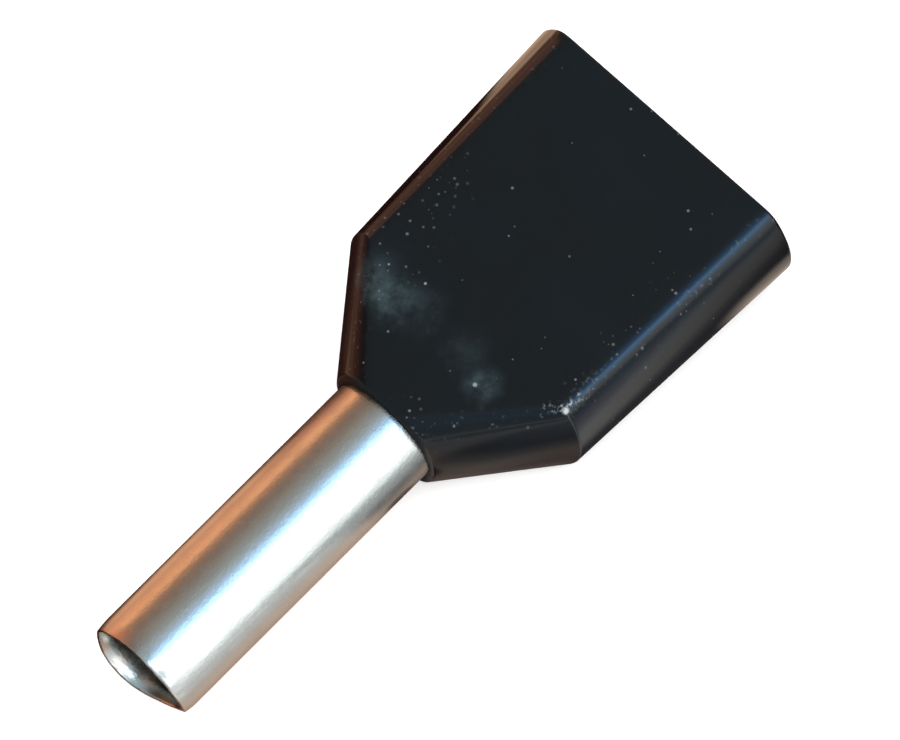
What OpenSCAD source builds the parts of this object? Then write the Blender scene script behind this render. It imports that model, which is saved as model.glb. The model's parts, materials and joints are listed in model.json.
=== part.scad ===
// Twin wire ferrule: a thin tinned copper sleeve held in a flattened,
// funnel-shaped insulating collar that takes two insulated conductors.
// The sleeve's axis runs along X, with the tip at -X and the wire entry at +X.
// The collar's flat underside lies on Z = 0, midway along X.

/* [Sleeve] */
// Inside diameter of the sleeve, round both bared conductors
sleeve_bore = 2.3; // [1.6:0.05:3.2]
// Wall of the drawn sleeve
sleeve_wall = 0.15; // [0.1:0.01:0.25]
// Bare length, from the collar's neck to the tip
bare_len = 7.5; // [5:0.1:14]
// Length of sleeve held inside the collar
grip_len = 1.5; // [1:0.1:2]
// How far the tip closes in on the outside, on the radius
tip_roll = 0.03; // [0.02:0.01:0.05]
// How far the tip opens out on the inside, on the radius
tip_bell = 0.05; // [0.02:0.01:0.06]
// Length of the worked tip
tip_len = 0.45; // [0.2:0.05:1]
// How far the held length opens out towards its end, on the radius
flare = 0.1; // [0.04:0.01:0.14]

/* [Collar] */
// Whole length, from the neck to the wire entry
collar_len = 8.8; // [7:0.1:14]
// Length of the tapered stretch between the neck and the shoulders
taper_len = 2.5; // [1.8:0.1:3]
// Width across the shoulders
shoulder_w = 6.78; // [6:0.02:9]
// Width at the wire entry
entry_w = 7.4; // [7:0.02:11]
// Plastic above and below the sleeve, which sets the thickness
roof = 0.3; // [0.25:0.01:0.6]
// Plastic beside the sleeve at the neck
cheek = 0.13; // [0.1:0.01:0.4]
// Wall round the wire cavity
wall = 0.28; // [0.2:0.01:0.3]

/* [Side form] */
// Outward bow of each side at the neck
neck_bow = 0.5; // [0.3:0.02:0.6]
// Outward bow of each side at the shoulders
shoulder_bow = 0.4; // [0.35:0.02:0.6]
// Outward bow of each side at the wire entry
entry_bow = 0.6; // [0.4:0.02:0.8]
// Rounding between flats and sides at the neck
neck_edge_r = 0.76; // [0.3:0.02:0.9]
// Rounding between flats and sides at the shoulders
shoulder_edge_r = 0.3; // [0.2:0.02:0.5]
// Rounding between flats and sides at the wire entry
entry_edge_r = 0.42; // [0.35:0.02:0.6]
// Small rounding of the collar's outer rim at the wire entry
rim_round = 0.08; // [0.04:0.01:0.12]

/* [Wire cavity] */
// Length of the funnel that leads strands into the sleeve
funnel_len = 1.5; // [1.2:0.1:2.6]

/* [Fit] */
// Radial clearance between the sleeve and its seat in the collar
seat_clearance = 0.01; // [0.005:0.005:0.03]

/* [Hidden] */
// Facets on the full circles that the collar's bowed sides are cut from
side_fn = 96;
// Facets on the full circles that round the collar's long edges
edge_fn = 40;
// Facets shown on turned surfaces
turned_fn = 128;
// Thickness of the slices that a blended form runs between
slice = 0.01;
// How far a cut runs past the face that it opens
past = 0.5;
// Straight stretches that stand for each of the tip's arcs
tip_steps = 6;

bore_r = sleeve_bore / 2;
sleeve_r = bore_r + sleeve_wall;
mouth_r = bore_r + flare;
thickness = 2 * (sleeve_r + roof);
axis_z = thickness / 2;
neck_w = 2 * (sleeve_r + cheek);

overall_len = bare_len + collar_len;
tip_x = -overall_len / 2;
neck_x = tip_x + bare_len;
shoulder_x = neck_x + taper_len;
entry_x = neck_x + collar_len;
held_x = neck_x + grip_len;
funnel_x = held_x + funnel_len;

// Share of the way from the shoulders to the wire entry at a place along X
function along(x) = (x - shoulder_x) / (entry_x - shoulder_x);
function blend(a, b, t) = a + (b - a) * t;

// Flattened section: flat top and bottom, sides that bow outwards, rounded edges
module section(w, h, bow, edge_r) {
    side_r = (bow * bow + h * h / 4) / (2 * bow);
    offset(r = edge_r, $fn = edge_fn)
        offset(delta = -edge_r) {
            square([w - 2 * bow, h], center = true);
            for (side = [-1, 1])
                intersection() {
                    translate([side * (w / 2 - side_r), 0])
                        circle(r = side_r, $fn = side_fn);
                    translate([side * w / 4, 0])
                        square([w / 2, h], center = true);
                }
        }
}

// A thin slice across the sleeve's axis, starting at x
module slice_at(x) {
    translate([x, 0, axis_z])
        rotate([90, 0, 90])
            linear_extrude(height = slice)
                children();
}

// Outside of the collar, with a crease at each shoulder
module collar_form() {
    hull() {
        slice_at(neck_x)
            section(neck_w, thickness, neck_bow, neck_edge_r);
        slice_at(shoulder_x)
            section(shoulder_w, thickness, shoulder_bow, shoulder_edge_r);
        slice_at(entry_x - rim_round)
            section(entry_w, thickness, entry_bow, entry_edge_r);
        slice_at(entry_x - slice)
            offset(delta = -rim_round / 2)
                section(entry_w, thickness, entry_bow, entry_edge_r);
    }
}

// Section of the wire cavity at x, one wall inside the collar's own section
module cavity_section(x) {
    t = along(x);
    offset(delta = -wall)
        section(
            blend(shoulder_w, entry_w, t),
            thickness,
            blend(shoulder_bow, entry_bow, t),
            blend(shoulder_edge_r, entry_edge_r, t)
        );
}

// Space for the two insulated conductors, with its funnel to the sleeve
module wire_cavity() {
    hull() {
        slice_at(held_x)
            circle(r = mouth_r, $fn = edge_fn);
        slice_at(funnel_x)
            cavity_section(funnel_x);
        slice_at(entry_x + past)
            cavity_section(entry_x + past);
    }
}

// Half outline turned about the sleeve's axis, its first ordinate the radius
module turned() {
    translate([0, 0, axis_z])
        rotate([0, 90, 0])
            rotate_extrude($fn = turned_fn)
                children();
}

// Seat for the held length of the sleeve: a cone that stops it drawing out
module sleeve_seat() {
    seat_r = sleeve_r + seat_clearance;
    seat_end = held_x + seat_clearance;
    turned()
        polygon([
            [0, neck_x - past],
            [seat_r, neck_x - past],
            [seat_r, neck_x],
            [seat_r + flare, seat_end],
            [0, seat_end]
        ]);
}

// Moulded collar that insulates and guides the conductors
module insulating_collar() {
    color([0.09, 0.10, 0.11])
        difference() {
            collar_form();
            wire_cavity();
            sleeve_seat();
        }
}

// Tip's outline from one radius: a circular arc that leaves it by turn, inwards if negative
function tip_arc(r, turn, steps) =
    let (arc_r = (tip_len * tip_len + turn * turn) / (2 * abs(turn)))
    [
        for (i = [0:steps])
            let (a = asin(tip_len / arc_r) * i / steps)
            [r + sign(turn) * arc_r * (1 - cos(a)), tip_x + tip_len - arc_r * sin(a)]
    ];

// Drawn sleeve with a thinned tip, flared evenly over its held length
module contact_sleeve() {
    outer_tip = tip_arc(sleeve_r, -tip_roll, tip_steps);
    inner_tip = tip_arc(bore_r, tip_bell, tip_steps);
    color([0.80, 0.79, 0.76])
        turned()
            polygon(concat(
                [[sleeve_r + flare, held_x], [sleeve_r, neck_x]],
                outer_tip,
                [for (i = [tip_steps:-1:0]) inner_tip[i]],
                [[bore_r, neck_x], [mouth_r, held_x]]
            ));
}

insulating_collar();
contact_sleeve();
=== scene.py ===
"""Looks of a twin wire ferrule: a black insulating collar on a tinned copper sleeve.

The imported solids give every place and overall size. The collar and the sleeve
are built again as fine meshes of the same form, because gloss shows each facet.
"""

import json
import logging
import math
from dataclasses import astuple, dataclass, field
from enum import Enum

import bmesh
import bpy
import numpy as np
from mathutils import Matrix, Vector


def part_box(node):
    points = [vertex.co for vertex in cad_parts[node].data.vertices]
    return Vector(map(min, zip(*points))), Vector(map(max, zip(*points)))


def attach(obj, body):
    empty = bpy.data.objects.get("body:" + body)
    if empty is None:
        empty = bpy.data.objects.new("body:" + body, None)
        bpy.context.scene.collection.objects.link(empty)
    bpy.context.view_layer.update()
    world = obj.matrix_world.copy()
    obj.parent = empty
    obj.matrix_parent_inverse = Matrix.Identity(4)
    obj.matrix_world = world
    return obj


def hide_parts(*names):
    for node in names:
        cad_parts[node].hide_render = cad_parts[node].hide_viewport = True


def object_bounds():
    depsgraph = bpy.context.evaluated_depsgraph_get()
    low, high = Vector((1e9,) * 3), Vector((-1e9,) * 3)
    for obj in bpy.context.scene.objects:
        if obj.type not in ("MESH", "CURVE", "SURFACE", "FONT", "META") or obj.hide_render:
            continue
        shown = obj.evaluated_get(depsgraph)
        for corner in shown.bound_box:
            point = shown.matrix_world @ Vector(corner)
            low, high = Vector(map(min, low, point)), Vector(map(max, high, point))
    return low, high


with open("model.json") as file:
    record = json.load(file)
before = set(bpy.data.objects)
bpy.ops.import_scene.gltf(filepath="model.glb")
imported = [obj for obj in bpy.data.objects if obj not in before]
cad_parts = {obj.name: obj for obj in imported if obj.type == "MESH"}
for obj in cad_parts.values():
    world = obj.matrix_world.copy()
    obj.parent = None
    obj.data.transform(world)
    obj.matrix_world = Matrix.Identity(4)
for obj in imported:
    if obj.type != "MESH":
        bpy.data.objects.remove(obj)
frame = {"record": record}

SOLID_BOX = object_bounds()
LOG = logging.getLogger("ferrule")
MM = 0.001

Point = tuple[float, float, float]
Colour = tuple[float, float, float]
Ring = list[Point]
Range = tuple[float, float]
Socket = bpy.types.NodeSocket


class Seen(Enum):
    """How a light takes part: it lights surfaces, or it is mirrored in them."""

    LIGHTS_ONLY = "lights_only"
    MIRRORED_ONLY = "mirrored_only"


class Slot(Enum):
    """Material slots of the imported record."""

    COLLAR = "collar_plastic"
    SLEEVE = "tinned_copper"


@dataclass(frozen=True)
class Stop:
    """One colour at one place along a gradient."""

    at: float
    colour: Colour


def gradient(*rows: tuple[float, float, float, float]) -> tuple[Stop, ...]:
    """Stops from rows of place, red, green and blue, in rising order of place."""
    return tuple(Stop(at, (red, green, blue)) for at, red, green, blue in rows)


# ---------------------------------------------------------------- node graphs


class Graph:
    """A node tree that is filled by short calls."""

    def __init__(self, tree: bpy.types.NodeTree) -> None:
        """Take over a tree and empty it.

        Args:
            tree: the material's, world's or group's node tree.
        """
        self.tree = tree
        self.tree.nodes.clear()

    def add(self, kind: str, inputs: dict | None = None, **settings) -> bpy.types.Node:
        """Add a node, set its properties, and set or link its inputs.

        Args:
            kind: the node's type name without the leading ShaderNode.
            inputs: input name or number to a value or to an output socket.
            settings: the node's own properties.

        Returns:
            The new node.
        """
        prefix = "" if kind.startswith("NodeGroup") else "ShaderNode"
        node = self.tree.nodes.new(prefix + kind)
        for name, value in settings.items():
            setattr(node, name, value)
        for key, value in (inputs or {}).items():
            self.feed(node.inputs[key], value)
        return node

    def feed(self, socket: Socket, value: object) -> None:
        """Link an output to a socket, or set the socket's own value."""
        if isinstance(value, Socket):
            self.tree.links.new(value, socket)
        else:
            socket.default_value = value

    def maths(self, operation: str, *values: object, clamp: bool = False) -> Socket:
        """Work out a number from sockets and numbers.

        Args:
            operation: the Math node's operation.
            values: its operands, in order.
            clamp: whether the result is held between 0 and 1.

        Returns:
            The result's socket.
        """
        node = self.add("Math", dict(enumerate(values)), operation=operation, use_clamp=clamp)
        return node.outputs[0]

    def times(self, first: object, second: object) -> Socket:
        """Multiply two numbers."""
        return self.maths("MULTIPLY", first, second)

    def scaled(self, value: object, factor: object, offset: object) -> Socket:
        """Multiply a number by a factor and add an offset."""
        return self.maths("MULTIPLY_ADD", value, factor, offset)

    def larger(self, first: object, second: object) -> Socket:
        """Take the larger of two numbers."""
        return self.maths("MAXIMUM", first, second)

    def parts(self, vector: object) -> bpy.types.bpy_prop_collection:
        """Split a vector into its X, Y and Z sockets."""
        return self.add("SeparateXYZ", {0: vector}).outputs

    def ramp(self, value: object, low: float, high: float) -> Socket:
        """Turn a value between two limits smoothly into 0 to 1.

        Args:
            value: the socket to read.
            low: the value that gives 0.
            high: the value that gives 1.

        Returns:
            The result's socket.
        """
        limits = {"Value": value, "From Min": low, "From Max": high}
        node = self.add("MapRange", limits, interpolation_type="SMOOTHSTEP")
        return node.outputs["Result"]

    def blend(self, factor: object, first: object, second: object) -> Socket:
        """Mix two colours.

        Args:
            factor: how much of the second is taken.
            first: the first colour or socket.
            second: the second colour or socket.

        Returns:
            The mixed colour's socket.
        """
        node = self.add("Mix", data_type="RGBA")
        self.feed(node.inputs[0], factor)
        self.feed(node.inputs[6], first if not isinstance(first, tuple) else (*first, 1))
        self.feed(node.inputs[7], second if not isinstance(second, tuple) else (*second, 1))
        return node.outputs[2]

    def shades(self, value: object, stops: tuple[Stop, ...]) -> Socket:
        """Look a colour up along a row of stops.

        Args:
            value: the socket to read.
            stops: the stops, in rising order.

        Returns:
            The colour's socket.
        """
        low, high = stops[0].at, stops[-1].at
        share = self.add("MapRange", {"Value": value, "From Min": low, "From Max": high})
        node = self.add("ValToRGB", {0: share.outputs["Result"]})
        ramp = node.color_ramp
        ramp.interpolation = "EASE"
        for stop in stops[1:-1]:
            ramp.elements.new((stop.at - low) / (high - low))
        for element, stop in zip(ramp.elements, stops):
            element.color = (*stop.colour, 1.0)
        return node.outputs["Color"]

    def noise(self, vector: object, scale: object, detail: float = 2, rough: float = 0.5) -> Socket:
        """Add a noise texture and give its value's socket."""
        inputs = {"Vector": vector, "Scale": scale, "Detail": detail, "Roughness": rough}
        return self.add("TexNoise", inputs).outputs[0]


class EffectGroup:
    """A shader node group that several materials share."""

    def __init__(self, name: str, inputs: dict[str, tuple[str, object]], outputs: list[str]) -> None:
        """Make the group with its named sockets.

        Args:
            name: the group's name.
            inputs: each input's name to its socket type and default value.
            outputs: names of the outputs, all plain numbers.
        """
        self.tree = bpy.data.node_groups.new(name, "ShaderNodeTree")
        for label, (kind, default) in inputs.items():
            socket = self.tree.interface.new_socket(label, in_out="INPUT", socket_type=kind)
            socket.default_value = default
        for label in outputs:
            self.tree.interface.new_socket(label, in_out="OUTPUT", socket_type="NodeSocketFloat")
        self.graph = Graph(self.tree)
        self.given = self.graph.add("NodeGroupInput").outputs
        self.result = self.graph.add("NodeGroupOutput").inputs

    def place(self, graph: Graph, inputs: dict) -> bpy.types.bpy_prop_collection:
        """Put the group into a material.

        Args:
            graph: the material's graph.
            inputs: this material's values and links for the group's inputs.

        Returns:
            The group node's outputs.
        """
        node = graph.add("Group", node_tree=self.tree)
        for key, value in inputs.items():
            graph.feed(node.inputs[key], value)
        return node.outputs


VECTOR = ("NodeSocketVector", (0.0, 0.0, 0.0))


def number(default: float) -> tuple[str, float]:
    """Socket type and default for a plain number."""
    return ("NodeSocketFloat", default)


class SharedEffects:
    """The effects that the plastic and the tin have in common, each built once."""

    def __init__(self) -> None:
        """Build every group."""
        self.specks = self.build_specks()
        self.smudge = self.build_smudge()
        self.wear = self.build_wear()
        self.relief = self.build_relief()

    @staticmethod
    def build_specks() -> EffectGroup:
        """Scattered specks of dust, most of the cells being empty.

        Returns:
            A group that puts out Mask.
        """
        inputs = {"Vector": VECTOR, "Per mm": number(2), "Share": number(0.2), "Size": number(0.1)}
        group = EffectGroup("Dust specks", inputs, ["Mask"])
        graph, given = group.graph, group.given
        cells = graph.add("TexVoronoi", {"Vector": given["Vector"], "Scale": given["Per mm"]})
        draw = graph.add("SeparateColor", {0: cells.outputs["Color"]}).outputs
        present = graph.maths("LESS_THAN", draw[0], given["Share"])
        reach = graph.times(graph.scaled(draw[1], 0.8, 0.35), given["Size"])
        core = graph.maths("DIVIDE", cells.outputs["Distance"], reach)
        dot = graph.ramp(core, 1.0, 0.35)
        level = graph.scaled(graph.maths("POWER", draw[2], 2.0), 0.8, 0.2)
        mask = graph.times(graph.times(present, level), dot)
        graph.feed(group.result["Mask"], mask)
        return group

    @staticmethod
    def build_smudge() -> EffectGroup:
        """A soft patch round a place, broken up by fine grain.

        Returns:
            A group that puts out Mask.
        """
        inputs = {
            "Vector": VECTOR,
            "Centre": VECTOR,
            "Reach": number(1),
            "Grain per mm": number(3),
            "Amount": number(1),
        }
        group = EffectGroup("Handling smudge", inputs, ["Mask"])
        graph, given = group.graph, group.given
        bend = graph.add("TexNoise", {"Vector": given["Vector"], "Scale": 1.3, "Detail": 3}).outputs[1]
        even = graph.add("VectorMath", {0: bend, 1: (0.5, 0.5, 0.5)}, operation="SUBTRACT").outputs[0]
        bend_by = graph.times(given["Reach"], 1.1)
        bent = graph.add("VectorMath", {0: even, "Scale": bend_by}, operation="SCALE").outputs[0]
        place = graph.add("VectorMath", {0: given["Vector"], 1: bent}, operation="ADD").outputs[0]
        gap = graph.add("VectorMath", {0: place, 1: given["Centre"]}, operation="DISTANCE")
        share = graph.maths("DIVIDE", gap.outputs["Value"], given["Reach"])
        patch = graph.ramp(share, 1.0, 0.1)
        grain = graph.noise(given["Vector"], given["Grain per mm"], 8, 0.66)
        broken = graph.ramp(grain, 0.22, 0.80)
        mask = graph.times(graph.times(patch, broken), given["Amount"])
        graph.feed(group.result["Mask"], mask)
        return group

    @staticmethod
    def build_wear() -> EffectGroup:
        """Rubbed edges, broken up along their length.

        Returns:
            A group that puts out Mask.
        """
        inputs = {"Vector": VECTOR, "Edge": number(0), "Per mm": number(6), "Share": number(0.4)}
        group = EffectGroup("Rubbed edge", inputs, ["Mask"])
        graph, given = group.graph, group.given
        cells = graph.noise(given["Vector"], given["Per mm"], 4)
        need = graph.maths("SUBTRACT", 1.0, given["Share"])
        rubbed = graph.ramp(graph.maths("SUBTRACT", cells, need), 0.0, 0.12)
        graph.feed(group.result["Mask"], graph.times(rubbed, given["Edge"]))
        return group

    @staticmethod
    def build_relief() -> EffectGroup:
        """Fine relief of a surface: even grain, or lines where the vector is stretched.

        Returns:
            A group that puts out Height.
        """
        inputs = {
            "Vector": VECTOR,
            "Fine per mm": number(12),
            "Broad per mm": number(1.5),
            "Broad share": number(0.5),
        }
        group = EffectGroup("Surface relief", inputs, ["Height"])
        graph, given = group.graph, group.given
        fine = graph.noise(given["Vector"], given["Fine per mm"], 3)
        broad = graph.noise(given["Vector"], given["Broad per mm"])
        share = given["Broad share"]
        rest = graph.times(fine, graph.maths("SUBTRACT", 1.0, share))
        graph.feed(group.result["Height"], graph.scaled(broad, share, rest))
        return group


def millimetres(graph: Graph, stretch: Point = (1.0, 1.0, 1.0)) -> Socket:
    """Place on the part in millimetres, stretched if asked.

    Args:
        graph: the material's graph.
        stretch: factor along each axis, small along a line's own direction.

    Returns:
        The vector's socket.
    """
    place = graph.add("TexCoord").outputs["Object"]
    scale = Vector(stretch) / MM
    node = graph.add("VectorMath", {0: place, 1: scale}, operation="MULTIPLY")
    return node.outputs[0]


def bump(graph: Graph, height: object, depth: float, strength: float) -> Socket:
    """Turn a height into a normal.

    Args:
        graph: the material's graph.
        height: the height's socket, 0 to 1.
        depth: the depth that 1 stands for, in metres.
        strength: how strongly it shows.

    Returns:
        The normal's socket.
    """
    inputs = {"Height": height, "Distance": depth, "Strength": strength}
    return graph.add("Bump", inputs).outputs["Normal"]


def new_material(name: str) -> tuple[bpy.types.Material, Graph]:
    """Start a material with an empty graph."""
    material = bpy.data.materials.new(name)
    material.use_nodes = True
    return material, Graph(material.node_tree)


@dataclass(frozen=True)
class Specks:
    """One kind of dust: how close its cells lie, how many are filled, how big and bright."""

    per_mm: float
    share: float
    size: float
    amount: float = 1.0

    def mask(self, graph: Graph, effects: SharedEffects, place: object) -> Socket:
        """Mask of these specks at a place in millimetres."""
        values = {"Vector": place, "Per mm": self.per_mm, "Share": self.share, "Size": self.size}
        return graph.times(effects.specks.place(graph, values)[0], self.amount)


@dataclass(frozen=True)
class Grain:
    """Relief of one surface: fine and broad grain per millimetre, and the broad one's share."""

    fine: float
    broad: float
    broad_share: float

    def height(self, graph: Graph, effects: SharedEffects, place: object) -> Socket:
        """Height of this grain at a place in millimetres."""
        values = {"Vector": place, "Fine per mm": self.fine, "Broad per mm": self.broad}
        return effects.relief.place(graph, {**values, "Broad share": self.broad_share})[0]


@dataclass(frozen=True)
class Clouds:
    """Noise between two levels: how fine, how many octaves, how rough, and the levels."""

    per_mm: float
    detail: float
    rough: float
    low: float
    high: float

    def mask(self, graph: Graph, place: object) -> Socket:
        """Mask of the clouds at a place in millimetres."""
        noise = graph.noise(place, self.per_mm, self.detail, self.rough)
        return graph.ramp(noise, self.low, self.high)


@dataclass(frozen=True)
class Rubbing:
    """Wear along the edges: how finely it is broken up, and the share that is worn."""

    per_mm: float
    share: float

    def mask(self, graph: Graph, effects: SharedEffects, place: object, edge: object) -> Socket:
        """Mask of the wear at a place in millimetres, for an edge share."""
        values = {"Vector": place, "Edge": edge, "Per mm": self.per_mm, "Share": self.share}
        return effects.wear.place(graph, values)[0]


@dataclass(frozen=True)
class SmudgeAndGlintMark:
    """One patch, in millimetres; the patches hold handling dirt, dust and painted glint."""

    centre: Point
    reach: float
    amount: float


def smudge_and_glint_marks(*rows: tuple[float, float, float, float, float]) -> tuple[SmudgeAndGlintMark, ...]:
    """Marks from rows of the centre's three places, the reach and the amount."""
    return tuple(SmudgeAndGlintMark((x, y, z), reach, amount) for x, y, z, reach, amount in rows)


@dataclass(frozen=True)
class BlackPolypropylene:
    """Glossy black moulded plastic with dust, hazy smudge patches, rubbed edges and a painted
    highlight: a glint on the right shoulder corner and a light line down its crease.
    """

    colour: Colour = (0.0004, 0.0014, 0.0026)
    haze_colour: Colour = (0.022, 0.042, 0.046)
    # Colour of dust, also of the painted glint at the shoulder corner.
    dust_and_glint_colour: Colour = (0.40, 0.44, 0.45)
    # Colour of rubbed edges, and of the painted highlight line down the crease.
    rubbed_and_highlight_colour: Colour = (0.11, 0.125, 0.135)
    roughness: float = 0.17
    roughness_spread: float = 0.08
    roughness_per_mm: float = 2.2
    haze_roughness: float = 0.42
    ior: float = 1.49
    dust_roughness: float = 0.4
    dust_height: float = 1.5
    clouds: Clouds = Clouds(0.5, 4, 0.5, 0.3, 0.75)
    cloud_lift: float = 1.9
    rubbing: Rubbing = Rubbing(9.0, 0.38)
    worn_most: float = 0.5
    # Painted highlight line down the crease: the edge shares it covers and its strength.
    crease_highlight_edges: Range = (0.9, 2.0)
    crease_highlight_most: float = 0.26
    hazed_dust: float = 0.35
    relief_depth: float = 0.012 * MM
    relief_strength: float = 0.6
    relief: Grain = Grain(9.0, 0.7, 0.85)
    coarse: Specks = Specks(1.1, 0.22, 0.075, 0.7)
    fine: Specks = Specks(3.6, 0.20, 0.15, 0.35)
    crowd: Specks = Specks(6.5, 0.80, 0.30)
    speck_stretch: Point = (1.0, 1.0, 0.5)
    ragged: Clouds = Clouds(11.0, 3, 0.6, 0.50, 0.66)
    haze_grain: float = 2.6
    dust_grain: float = 1.2
    # Grain that breaks up the painted glint.
    painted_glint_grain: float = 9.0
    marks: tuple[SmudgeAndGlintMark, ...] = smudge_and_glint_marks(
        (1.35, 2.05, 3.2, 0.75, 0.9), (1.2, 1.5, 3.2, 0.85, 0.8), (1.4, 0.8, 3.2, 0.75, 0.4),
        (1.1, -1.3, 3.2, 0.60, 1.0), (1.4, -0.5, 3.2, 0.75, 0.35),
    )
    gathered: tuple[SmudgeAndGlintMark, ...] = smudge_and_glint_marks(
        (2.4, 2.5, 3.2, 1.3, 1.3), (1.6, 2.1, 3.2, 0.9, 0.8), (3.8, 2.5, 3.2, 1.2, 0.7),
        (-0.55, -0.6, 3.2, 0.7, 1.3), (0.0, -1.4, 3.15, 0.6, 0.6), (1.55, -2.5, 3.2, 0.40, 1.2),
        (2.5, -2.85, 3.2, 0.7, 1.5), (3.9, -2.9, 3.2, 0.9, 1.2), (5.6, -2.95, 3.2, 0.9, 1.0),
    )
    # Painted glint: a bright spot on the shoulder corner and sparkling wings along its edges.
    painted_glint_spot: tuple[SmudgeAndGlintMark, ...] = smudge_and_glint_marks((1.87, -2.90, 3.19, 0.11, 3.0))
    painted_highlight: tuple[SmudgeAndGlintMark, ...] = smudge_and_glint_marks(
        (1.80, -2.78, 3.2, 0.24, 1.1), (1.68, -2.60, 3.2, 0.20, 0.5),
        (2.06, -2.91, 3.19, 0.22, 1.2), (2.36, -2.90, 3.19, 0.28, 0.7),
        (2.80, -2.90, 3.19, 0.36, 0.4),
    )

    def build(self, effects: SharedEffects) -> bpy.types.Material:
        """Build the material.

        Args:
            effects: the shared node groups.

        Returns:
            The plastic's material.
        """
        material, graph = new_material("black polypropylene")
        place = millimetres(graph)
        haze = self.patches(graph, effects, place, self.marks, self.haze_grain)
        # The dust mask also holds the painted glint on the shoulder corner.
        dust = self.dust(graph, effects, place, haze)
        edge = graph.add("Attribute", attribute_name="edge").outputs["Fac"]
        # Painted highlight: the mitre crease on the -Y side is lightened into a light line.
        crease_highlight = graph.times(graph.ramp(edge, *self.crease_highlight_edges), self.crease_highlight_most)
        wear = self.rubbing.mask(graph, effects, place, graph.maths("MINIMUM", edge, 1.0))
        cloud = self.clouds.mask(graph, place)
        base = graph.blend(cloud, self.colour, tuple(self.cloud_lift * c for c in self.colour))
        hazy = graph.blend(haze, base, self.haze_colour)
        # Rubbed edges and the painted crease highlight lighten towards one colour.
        worn = graph.larger(graph.times(wear, self.worn_most), crease_highlight)
        rubbed = graph.blend(worn, hazy, self.rubbed_and_highlight_colour)
        colour = graph.blend(dust, rubbed, self.dust_and_glint_colour)
        fine = graph.noise(place, self.roughness_per_mm, 4)
        least = self.roughness - self.roughness_spread / 2
        varied = graph.scaled(fine, self.roughness_spread, least)
        dulled = graph.scaled(haze, self.haze_roughness - self.roughness, varied)
        roughness = graph.maths("MULTIPLY_ADD", dust, self.dust_roughness, dulled, clamp=True)
        height = graph.scaled(dust, self.dust_height, self.relief.height(graph, effects, place))
        shader = graph.add(
            "BsdfPrincipled",
            {
                "Base Color": colour,
                "Roughness": roughness,
                "IOR": self.ior,
                "Normal": bump(graph, height, self.relief_depth, self.relief_strength),
            },
        )
        graph.add("OutputMaterial", {"Surface": shader.outputs[0]})
        return material

    @staticmethod
    def patches(
        graph: Graph,
        effects: SharedEffects,
        place: object,
        marks: tuple[SmudgeAndGlintMark, ...],
        grain: float,
    ) -> Socket:
        """Add up a row of patches: smudge haze, gathered dust and the painted glint.

        Args:
            graph: the material's graph.
            effects: the shared node groups.
            place: the place on the part in millimetres.
            marks: the patches.
            grain: how finely they are broken up, per millimetre.

        Returns:
            The socket of their joint mask.
        """
        total: object = 0.0
        for mark in marks:
            values = {
                "Vector": place,
                "Centre": mark.centre,
                "Reach": mark.reach,
                "Grain per mm": grain,
                "Amount": mark.amount,
            }
            total = graph.maths("ADD", effects.smudge.place(graph, values)[0], total, clamp=True)
        return total

    def dust(self, graph: Graph, effects: SharedEffects, place: object, haze: object) -> Socket:
        """Fine and coarse specks, crowded where dust has gathered, and the painted glint on the
        shoulder corner with its sparkling wings.

        Args:
            graph: the material's graph.
            effects: the shared node groups.
            place: the place on the part in millimetres.
            haze: the haze's mask.

        Returns:
            The socket of the joint mask of dust and painted glint.
        """
        drawn = millimetres(graph, self.speck_stretch)
        kinds = (self.coarse, self.fine, self.crowd)
        coarse, fine, crowd = (kind.mask(graph, effects, drawn) for kind in kinds)
        gathered = self.patches(graph, effects, place, self.gathered, self.dust_grain)
        gathered = graph.times(gathered, crowd)
        hazed = graph.times(graph.times(crowd, haze), self.hazed_dust)
        loose = graph.larger(graph.larger(graph.larger(coarse, fine), hazed), gathered)
        # Painted glint on the shoulder corner and its sparkling wings, drawn in the dust's colour.
        painted_highlight = self.patches(graph, effects, place, self.painted_highlight, self.painted_glint_grain)
        painted_highlight = graph.times(painted_highlight, self.ragged.mask(graph, place))
        painted_glint = self.patches(graph, effects, place, self.painted_glint_spot, self.painted_glint_grain)
        return graph.larger(loose, graph.larger(painted_glint, painted_highlight))


@dataclass(frozen=True)
class MattMouldedEnd:
    """The neck's end face, left dull by the mould, with painted reflection by side: lighter grey
    towards -Y, brownish towards +Y.
    """

    # Painted reflection across the face: dark in the middle, lighter grey at -Y, brownish at +Y.
    colours: tuple[Stop, ...] = gradient(
        (-1.28, 0.046, 0.040, 0.037), (-1.12, 0.016, 0.017, 0.018), (-0.95, 0.0085, 0.0115, 0.0130),
        (0.75, 0.0085, 0.0115, 0.0130), (1.0, 0.020, 0.010, 0.007), (1.28, 0.036, 0.015, 0.009),
    )
    roughness: float = 0.75
    gloss: float = 0.08

    def build(self) -> bpy.types.Material:
        """Build the material.

        Returns:
            The end face's material.
        """
        material, graph = new_material("matt moulded end")
        across = graph.parts(millimetres(graph))["Y"]
        colour = graph.shades(across, self.colours)
        values = {"Base Color": colour, "Roughness": self.roughness, "Specular IOR Level": self.gloss}
        shader = graph.add("BsdfPrincipled", values)
        graph.add("OutputMaterial", {"Surface": shader.outputs[0]})
        return material


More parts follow.
